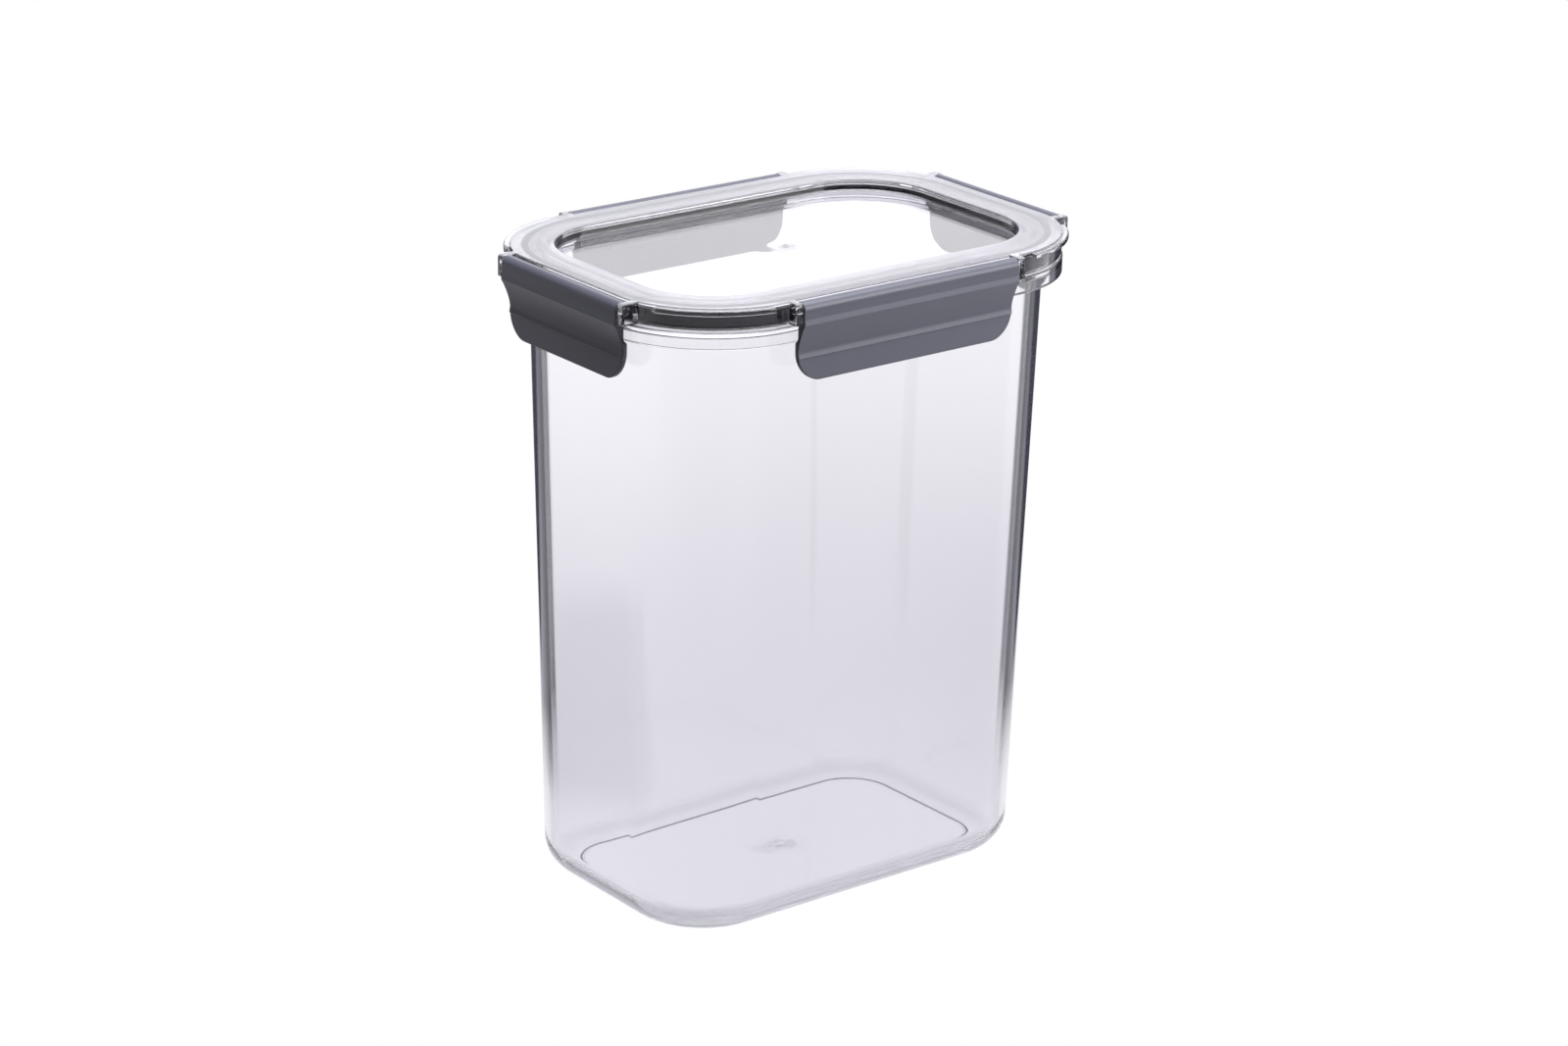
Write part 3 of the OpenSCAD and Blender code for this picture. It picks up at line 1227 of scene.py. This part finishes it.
    def make(self, finish: bpy.types.Material) -> bpy.types.Object:
        """Makes the lid.

        Args:
            finish: its clear plastic.

        Returns:
            The object.
        """
        s = self.sizes
        sections = []
        for k, side in enumerate(self.sides):
            after = self.sides[(k + 1) % 4]
            half = self.stations(side)
            for kind, along, inset in reversed(half[1:]):
                sections.append(self.section(kind, side, -along, inset))
            for kind, along, inset in half:
                sections.append(self.section(kind, side, along, inset))
            ends = []
            for edge_side in (side, after):
                last = self.stations(edge_side)[-1][1]
                ends.append(math.asin(edge_side.past(last) / s.skirt_in))
            for turn in np.linspace(ends[0], math.pi / 2 - ends[1], self.corner_steps + 2)[1:-1]:
                flat_side = Side("", side.turn, side.reach, side.half, 0.0)
                plain = self.section(Stretch.LIP, flat_side, 0.0)
                sections.append([self._swing(side, turn, p) for p in plain])
        shell = Shell("lid_body")
        rows = [shell.ring(ring) for ring in zip(*sections)]
        for low, high in zip(rows, rows[1:]):
            shell.band(low, high)
        shell.close_flat(rows[0], ((3.0, 0.0), (2.0, 0.0)))
        shell.close_flat(rows[-1], self.nub)
        shell.materials.append(finish)
        body = shell.build()
        return crease(cut(body, self._holes(), "DIFFERENCE"), 35.0)

    def _swing(self, side: Side, turn: float, point: Sequence[float]) -> tuple[float, float, float]:
        """Moves a point of a side's middle section round the corner after the side.

        Args:
            side: the side.
            turn: how far round the corner, in radians.
            point: the point.

        Returns:
            The moved point.
        """
        c, s = math.cos(side.turn), math.sin(side.turn)
        out = point[0] * c + point[1] * s - side.reach
        return side.corner(turn, out, point[2])

    def _holes(self) -> bpy.types.Object:
        """Makes the bores for the hinge pins.

        Returns:
            One cutter with all eight.
        """
        s = self.sizes
        shell = Shell("pin_bores")
        for side in self.sides:
            room = side.latch / 2 + s.end_play
            for sign in (-1, 1):
                ends = []
                for along in (room - 1.0, room + s.pin_length):
                    loop = arc((s.pin_out, s.pin_z), s.pin + 0.05, 0, 352.5, 47)
                    ends.append(shell.ring([side.at(sign * along, out, z) for out, z in loop]))
                shell.band(*ends)
                for ring in ends:
                    shell.shape.faces.new(ring)
        return shell.build()


@dataclass
class Latch:
    """One hinged latch: barrel edge, shoulder, two ridges, bend and finger flap."""

    sizes: Sizes
    side: Side
    shoulder: float = 3.4
    flap: float = 1.6
    drop: float = 13.7
    corner: float = 10.0
    grip: float = 1.0
    rib_reach: float = 0.8
    rib_height: float = 3.0
    rib_share: float = 0.66
    ridge: float = 0.3
    flare: float = 0.5
    edge: float = 0.35

    @property
    def low(self) -> float:
        """Height of the flap's free edge."""
        return self.sizes.flange_low - self.drop

    def chains(self) -> tuple[list[Point], list[Point]]:
        """Draws the latch's section, from the barrel's top to the free edge.

        Returns:
            The outer and the inner outline, with as many points each.
        """
        s = self.sizes
        inner = s.flange_out + s.play
        outer = inner + self.shoulder
        hook = s.flange_out - self.grip
        flap = hook + self.flap
        hook_top = s.flange_low - s.play
        dip = hook_top - self.rib_height
        bend_top = s.body_height
        barrel = (s.pin_out, s.pin_z)
        front = arc(barrel, s.barrel, 90, 4, 10)
        meet = math.degrees(math.acos((s.pin_out - inner) / s.barrel))
        back = arc(barrel, s.barrel, 90, 180 + meet, 10)
        bend = []
        for k in range(1, 13):
            t = k / 12
            bend.append((flap + (outer - flap) * (1 - t) ** 1.5, bend_top + (dip - bend_top) * t))
        shoulder = round_off([
            front[-1] + (0,), (outer, s.pin_z - 0.9, 0.3), (outer, bend_top + 2.3, 1.5),
            (outer + self.ridge, bend_top + 0.3, 0.12), (outer, bend_top, 0.12), bend[0] + (0,),
        ], 2)[1:]
        front_mid = shoulder + bend[1:-1]
        back_mid = round_off([
            back[-1] + (0,), (inner, hook_top, 0.3), (hook, hook_top, 0.3), (hook, dip, 0),
        ], 3)[1:-1]
        back_mid = widened([back[-1]] + back_mid + [(hook, dip)], len(front_mid) + 2)[1:-1]
        crest = dip - 2.0
        face = {dip: 0.0, dip - 0.7: 0.08, crest + 0.5: 0.22, crest + 0.12: self.ridge - 0.02,
                crest: self.ridge, crest - 0.1: self.ridge - 0.06, crest - 0.25: 0.05, crest - 0.4: 0.0}
        heights = list(face) + list(np.linspace(crest - 0.9, self.low + 0.9, 12))
        heights += [self.low + 0.55, self.low + 0.32, self.low + 0.12, self.low]
        tuck = [0.0] * (len(heights) - 4) + [0.02, 0.09, 0.27, 0.6]
        front_low, back_low = [], []
        for z, draw in zip(heights, tuck):
            fall = (dip - z) / (dip - self.low)
            front_low.append((flap + self.flare * fall + face.get(z, 0.0) - draw, z))
            back_low.append((hook + self.flare * fall + draw, z))
        return front + front_mid + front_low, back + back_mid + back_low

    def reach_at(self, z: float) -> float:
        """Half the latch's length, which is less where its lower corners are round.

        Args:
            z: height.

        Returns:
            The half length.
        """
        half = self.side.latch / 2
        below = self.low + self.corner - z
        if below <= 0:
            return half
        return half - self.corner + math.sqrt(max(0.0, self.corner ** 2 - below ** 2))

    def make(self, finish: bpy.types.Material) -> bpy.types.Object:
        """Makes the latch with its hook rib.

        Args:
            finish: its plastic.

        Returns:
            The object.
        """
        front, back = (np.array(chain) for chain in self.chains())
        shell = Shell(f"latch_{self.side.name}_body")
        e = self.edge
        ends = [(a * e, b * e) for a, b in ((0, 1), (0.08, 0.62), (0.3, 0.3), (0.62, 0.08), (1, 0))]
        ends.append((e + SUPPORT, 0.0))
        places = [(-1, a, b) for a, b in ends] + [(0, k, 0.0) for k in (-0.5, 0.0, 0.5)]
        places += [(1, a, b) for a, b in reversed(ends)]
        rows = []
        across = back - front
        span = np.linalg.norm(across, axis=1)
        across[span > 0] /= span[span > 0, None]
        for sign, back_off, inset in places:
            draw = np.minimum(inset, span / 2 * 0.98)[:, None]
            loop = np.vstack([front + across * draw, (back - across * draw)[:0:-1]])
            ring = []
            for out, z in loop.tolist():
                half = self.reach_at(z)
                along = sign * (half - back_off) if sign else back_off * half
                ring.append(self.side.at(along, out, z))
            rows.append(shell.ring(ring))
        for low, high in zip(rows, rows[1:]):
            shell.band(low, high)
        count = len(front)
        for row in (rows[0], rows[-1]):
            outer = row[:count]
            inner = [row[0]] + row[:count - 1:-1]
            shell.band(outer, inner, closed=False)
        shell.materials.append(finish)
        return crease(cut(shell.build(), self._rib(), "UNION"), 38.0)

    def _rib(self) -> bpy.types.Object:
        """Makes the hook rib inside the latch.

        Returns:
            The rib, sunk into the flap.
        """
        s = self.sizes
        hook = s.flange_out - self.grip
        top = s.flange_low - s.play
        inside, tip = hook + self.flap / 2, hook - self.rib_reach
        outline = [
            (inside, top - 0.05), (tip + 0.15, top - 0.02), (tip, top - 0.17),
            (tip, top - self.rib_height / 2), (inside, top - self.rib_height - 0.3),
        ]
        shell = Shell("rib")
        half = self.side.latch * self.rib_share / 2
        rows = [shell.ring([self.side.at(along, *p) for p in outline]) for along in (-half, half)]
        shell.band(*rows)
        for row in rows:
            shell.shape.faces.new(row)
        return shell.build()


@dataclass
class Pins:
    """The stub pins at a latch's ends, repeated by Geometry Nodes."""

    sizes: Sizes
    round_edge: float = 0.25
    root: float = 0.5
    tree: GeometryTree = field(init=False)

    def __post_init__(self) -> None:
        """Builds the tree once: a turned stub on every point."""
        tree = GeometryTree("hinge_pins", {
            "Stub": "NodeSocketObject",
            "Finish": "NodeSocketMaterial",
        })
        stub = tree.node("GeometryNodeObjectInfo", {}, {"Object": tree["Stub"]}, "Geometry")
        turn = tree.node("GeometryNodeInputNamedAttribute", {"data_type": "FLOAT_VECTOR"}, {"Name": "turn"})
        placed = tree.node("GeometryNodeInstanceOnPoints", {}, {
            "Points": tree["Geometry"], "Instance": stub, "Rotation": turn,
        })
        self.tree = tree.close(placed)

    def stub(self) -> bpy.types.Object:
        """Makes one pin along +X from its root, with a rounded free end.

        Returns:
            The pin.
        """
        s = self.sizes
        shell = Shell("pin_stub")
        r, e = s.pin, self.round_edge
        end = s.pin_length
        profile = [(-self.root, r), (end - e, r), (end - 0.3 * e, r - 0.3 * e), (end, r - e)]
        rows = []
        for x, radius in profile:
            rows.append(shell.ring([(x, a, b) for a, b in arc((0, 0), radius, 0, 345, 23)]))
        for low, high in zip(rows, rows[1:]):
            shell.band(low, high)
        for row in (rows[0], rows[-1]):
            shell.shape.faces.new(row)
        return shell.build()

    def make(self, side: Side, stub: bpy.types.Object, finish: bpy.types.Material) -> bpy.types.Object:
        """Makes the two pins of one latch.

        Args:
            side: the latch's side.
            stub: the pin that is repeated.
            finish: the latch's plastic.

        Returns:
            The object.
        """
        s = self.sizes
        mesh = bpy.data.meshes.new("pins")
        spots = [Vector(side.at(sign * side.latch / 2, s.pin_out, s.pin_z)) * MM for sign in (-1, 1)]
        mesh.from_pydata(spots, [], [])
        turns = mesh.attributes.new("turn", "FLOAT_VECTOR", "POINT")
        for k, sign in enumerate((-1, 1)):
            turns.data[k].vector = (0.0, 0.0, side.turn + sign * math.pi / 2)
        pins = new_object(f"latch_{side.name}_pins", mesh)
        return crease(self.tree.apply(pins, {"Stub": stub, "Finish": finish}))


class Ray:
    """A place or direction, measured along and across one azimuth, and the kind of ray that finds it."""

    def __init__(self, tree: ShaderTree, place: bpy.types.NodeSocket, azimuth: float) -> None:
        """Reads the place and the ray.

        Args:
            tree: the shader tree.
            place: the coordinates.
            azimuth: the azimuth that it is measured from, in degrees.
        """
        x, y, self.z = tree.axes(place)
        turn = math.radians(azimuth)
        self.ahead = x * -math.sin(turn) + y * math.cos(turn)
        self.aside = x * math.cos(turn) + y * math.sin(turn)
        outputs = tree.node("ShaderNodeLightPath", {}, {}).outputs
        self.seen, self.through, diffuse, glossy, single = (
            Value(tree, outputs[f"Is {kind} Ray"])
            for kind in ("Camera", "Transmission", "Diffuse", "Glossy", "Singular")
        )
        self.soft = diffuse + glossy * (1.0 - single) * (1.0 - diffuse)


@dataclass
class Studio:
    """A white floor and surround, soft lights and the camera.

    Angles are degrees. The camera's distance and shift are in heights of the
    object, and focal and width share one unit. The numbers on light are shares
    of white. Places on the floor are metres ahead of the middle and aside from it.
    """

    height: float = 0.225
    azimuth: float = -38.18
    elevation: float = 19.78
    roll: float = 1.14
    focal: float = 4260.0
    width: float = 1600.0
    shift: Point = (-0.0023, -0.0401)
    distance: float = 6.393
    dark: float = 0.05
    through: float = 0.85
    front: float = 0.03
    front_right: float = 0.34
    glare: float = 0.5
    cool: Colour = (0.968, 0.963, 1.0)
    outer_lean: float = 42.0
    world_clear: float = 0.12
    world_reach: float = 0.24
    floor_clear: float = 0.13
    floor_reach: float = 0.5
    floor_radius: float = 2.5
    card_aside: tuple[float, ...] = (-0.36, -0.30, -0.16, -0.12)
    card_ahead: tuple[float, ...] = (-0.16, -0.10, 0.02, 0.08)
    card_dark: float = 0.95

    def camera(self) -> None:
        """Places the camera."""
        turn, rise, roll = (math.radians(a) for a in (self.azimuth, self.elevation, self.roll))
        back = Vector((math.sin(turn) * math.cos(rise), -math.cos(turn) * math.cos(rise), math.sin(rise)))
        right = (-back).cross(Vector((0, 0, 1))).normalized()
        up = right.cross(-back)
        right, up = (
            math.cos(roll) * right + math.sin(roll) * up,
            math.cos(roll) * up - math.sin(roll) * right,
        )
        spot = Vector((0, 0, 0.5)) + back * self.distance - right * self.shift[0] - up * self.shift[1]
        data = bpy.data.cameras.new("camera")
        data.sensor_width = 36.0
        data.lens = self.focal * data.sensor_width / self.width
        data.clip_start, data.clip_end = 0.01, 50.0
        made = bpy.data.objects.new("camera", data)
        turned = Matrix((right, up, back)).transposed().to_4x4()
        made.matrix_world = Matrix.Translation(spot * self.height) @ turned
        bpy.context.scene.collection.objects.link(made)
        bpy.context.scene.camera = made

    def _flags(self, ray: Ray, clear: float) -> Value:
        """Finds the dark flags, which stand behind the object on both sides of the camera's azimuth.

        Args:
            ray: where the light is looked for.
            clear: half width that stays bright behind the object.

        Returns:
            1 on the flags, 0 elsewhere.
        """
        side = abs(ray.aside)
        outside = (side - ray.ahead * 0.09).ramp(clear, clear + 0.03)
        wide = math.tan(math.radians(self.outer_lean))
        lean = side / (ray.ahead + 0.001)
        return ray.ahead.ramp(0.02, 0.1) * outside * lean.ramp(wide, wide * 1.4, 1.0, 0.0)

    def _level(self, ray: Ray, clear: float, reach: float) -> Value:
        """Sets how bright the surround is.

        It is full to the eye and behind the object, dim in front and dark on the
        flags. Rays that pass through the plastic find it almost full everywhere.

        Args:
            ray: where the light is looked for, and how.
            clear: half width that stays bright behind the object.
            reach: how far in front of the object mirror reflections find it bright.

        Returns:
            The brightness.
        """
        ahead, aside = ray.ahead, ray.aside
        near = aside.ramp(-0.1, 0.25, self.front, self.front_right)
        step = ahead.ramp(-clear - 0.12, -clear + 0.02)
        step = step * (1.0 - aside.ramp(-0.34, -0.18, 1.0, 0.0) * ahead.ramp(0.05, 0.25, 1.0, 0.0))
        dull = near + (1.0 - near) * step
        sharp = ahead.ramp(-clear - reach, -clear - reach / 4, self.front, 1.0)
        sharp = sharp * (1.0 - aside.ramp(0.1, 0.5) * ahead.ramp(-0.05, 0.05, 0.8, 0.0))
        lit = (sharp + (1.0 - sharp) * ray.through) * (1.0 - ray.soft) + dull * ray.soft
        flags = self._flags(ray, clear) * (1.0 - self.dark)
        lit = lit * (1.0 - flags * (1.0 - ray.through * self.through))
        return lit + (1.0 - lit) * ray.seen

    def surround(self) -> None:
        """Makes the world: plain white to the eye, shaped for what the plastic reflects and bends.

        Level faces reflect a backdrop that is brighter than white.
        """
        world = bpy.data.worlds.new("surround")
        bpy.context.scene.world = world
        tree = ShaderTree(world)
        ray = Ray(tree, tree.node("ShaderNodeTexCoord", {}, {}).outputs["Generated"], self.azimuth)
        high = ray.z.between(0.02, 0.2, 0.45, 0.75)
        glare = 1.0 + high * ray.ahead.ramp(0.3, 0.8) * (1.0 - ray.seen) * self.glare
        dull = 1.0 - ray.soft * ray.ahead.ramp(0.35, 0.75, 1.0 - self.front, 0.0)
        level = self._level(ray, self.world_clear, self.world_reach) * glare * dull
        colour = tree.mix(ray.seen, self.cool, (1.0, 1.0, 1.0))
        shader = tree.node("ShaderNodeBackground", {}, {"Color": colour, "Strength": level})
        tree.finish(shader.outputs[0], "ShaderNodeOutputWorld")

    def floor(self) -> None:
        """Makes the white floor, with a dark card to the left that shows mainly in mirror reflections."""
        shell = Shell("floor")
        turns = np.linspace(0, 2 * math.pi, 96, endpoint=False)
        rings = [
            shell.ring([(r * math.cos(a) / MM, r * math.sin(a) / MM, -0.02) for a in turns])
            for r in (self.floor_radius, 0.1)
        ]
        shell.band(*rings)
        shell.shape.faces.new(rings[1])
        floor = shell.build()
        made = bpy.data.materials.new("white_floor")
        tree = ShaderTree(made)
        ray = Ray(tree, tree.place(), self.azimuth)
        card = ray.aside.between(*self.card_aside) * ray.ahead.between(*self.card_ahead)
        mirrored = (1.0 - ray.seen) * (1.0 - ray.soft) * (1.0 - ray.through * 0.9)
        level = self._level(ray, self.floor_clear, self.floor_reach)
        level = level * (1.0 - card * mirrored * self.card_dark)
        colour = tree.mix(ray.seen, self.cool, (1.0, 1.0, 1.0))
        glow = tree.node("ShaderNodeEmission", {}, {"Color": colour, "Strength": level})
        tree.finish(glow.outputs[0])
        floor.data.materials.append(made)

    def lamp(self, name: str, spot: Sequence[float], aim: Sequence[float], size: Point, power: float) -> None:
        """Adds a softbox.

        Args:
            name: its name.
            spot: where it stands, in metres.
            aim: the point that it faces.
            size: its width and height, in metres.
            power: its power, in watts.
        """
        data = bpy.data.lights.new(name, "AREA")
        data.shape = "RECTANGLE"
        data.size, data.size_y = size
        data.energy = power
        made = bpy.data.objects.new(name, data)
        way = Vector(aim) - Vector(spot)
        made.matrix_world = Matrix.Translation(spot) @ way.to_track_quat("-Z", "Y").to_matrix().to_4x4()
        made.visible_camera = False
        made.visible_transmission = False
        bpy.context.scene.collection.objects.link(made)

    def make(self) -> None:
        """Sets up the whole studio."""
        scene = bpy.context.scene
        scene.view_settings.view_transform = "Standard"
        scene.cycles.max_bounces = 32
        scene.cycles.transmission_bounces = 32
        scene.cycles.glossy_bounces = 8
        scene.cycles.diffuse_bounces = 3
        self.camera()
        self.surround()
        self.floor()
        self.lamp("overhead", (0.1, -0.1, 1.15), (0, 0, 0.2), (1.1, 1.1), 22.0)
        self.lamp("key", (0.75, -1.0, 0.55), (0, 0, 0.18), (0.5, 0.7), 9.0)


def main() -> None:
    """Builds the canister round the frame and reports each piece."""
    logging.basicConfig(level=logging.INFO, format="%(name)s: %(message)s")
    sizes, sides = measure()
    sweep = Sweep(sizes)
    core = (sizes.core_x * MM, sizes.core_y * MM)
    # The container's plastic has painted shade low down and at its base.
    clear = ClearPlastic(
        "container_clear", core, low_shade_tint=(0.83, 0.827, 0.855), foot_frost=0.45,
    ).material()
    # The lid's plastic carries a painted dark band of shade round its recess.
    lid_clear = ClearPlastic(
        "lid_clear", core, tint=(0.962, 0.957, 0.985), low_shade_tint=(0.962, 0.957, 0.985), wave=0.0,
        gate_height=0.221, gate_reach=0.006, rim_above=0.2248, rim_haze=0.3, rim_frost=0.24,
        band=(0.2186, 0.2231),
    ).material()
    grey, dark = LATCH_GREY.material(), SILICONE.material()

    placed: list[tuple[bpy.types.Object, str, str, str]] = [
        (Container(sizes, sweep).make(clear), "container", "container_clear", "container"),
        (Lid(sizes, sides).make(lid_clear), "lid", "lid_clear", "lid"),
        (Gasket(sizes, sweep).make(dark), "lid", "gasket_silicone", "gasket"),
    ]
    pins = Pins(sizes)
    stub = pins.stub()
    for side in sides:
        node = f"latch_{side.name}"
        placed.append((Latch(sizes, side).make(grey), node, "latch_grey", node))
        placed.append((pins.make(side, stub, grey), node, "latch_grey", ""))
    bpy.data.objects.remove(stub)
    for piece, body, slot, node in placed:
        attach(piece, body)
        if node:
            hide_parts(node)
        LOG.info("%s rides on %s: %d faces", piece.name, body, len(piece.data.polygons))
    Studio().make()


if __name__ == "__main__":
    main()
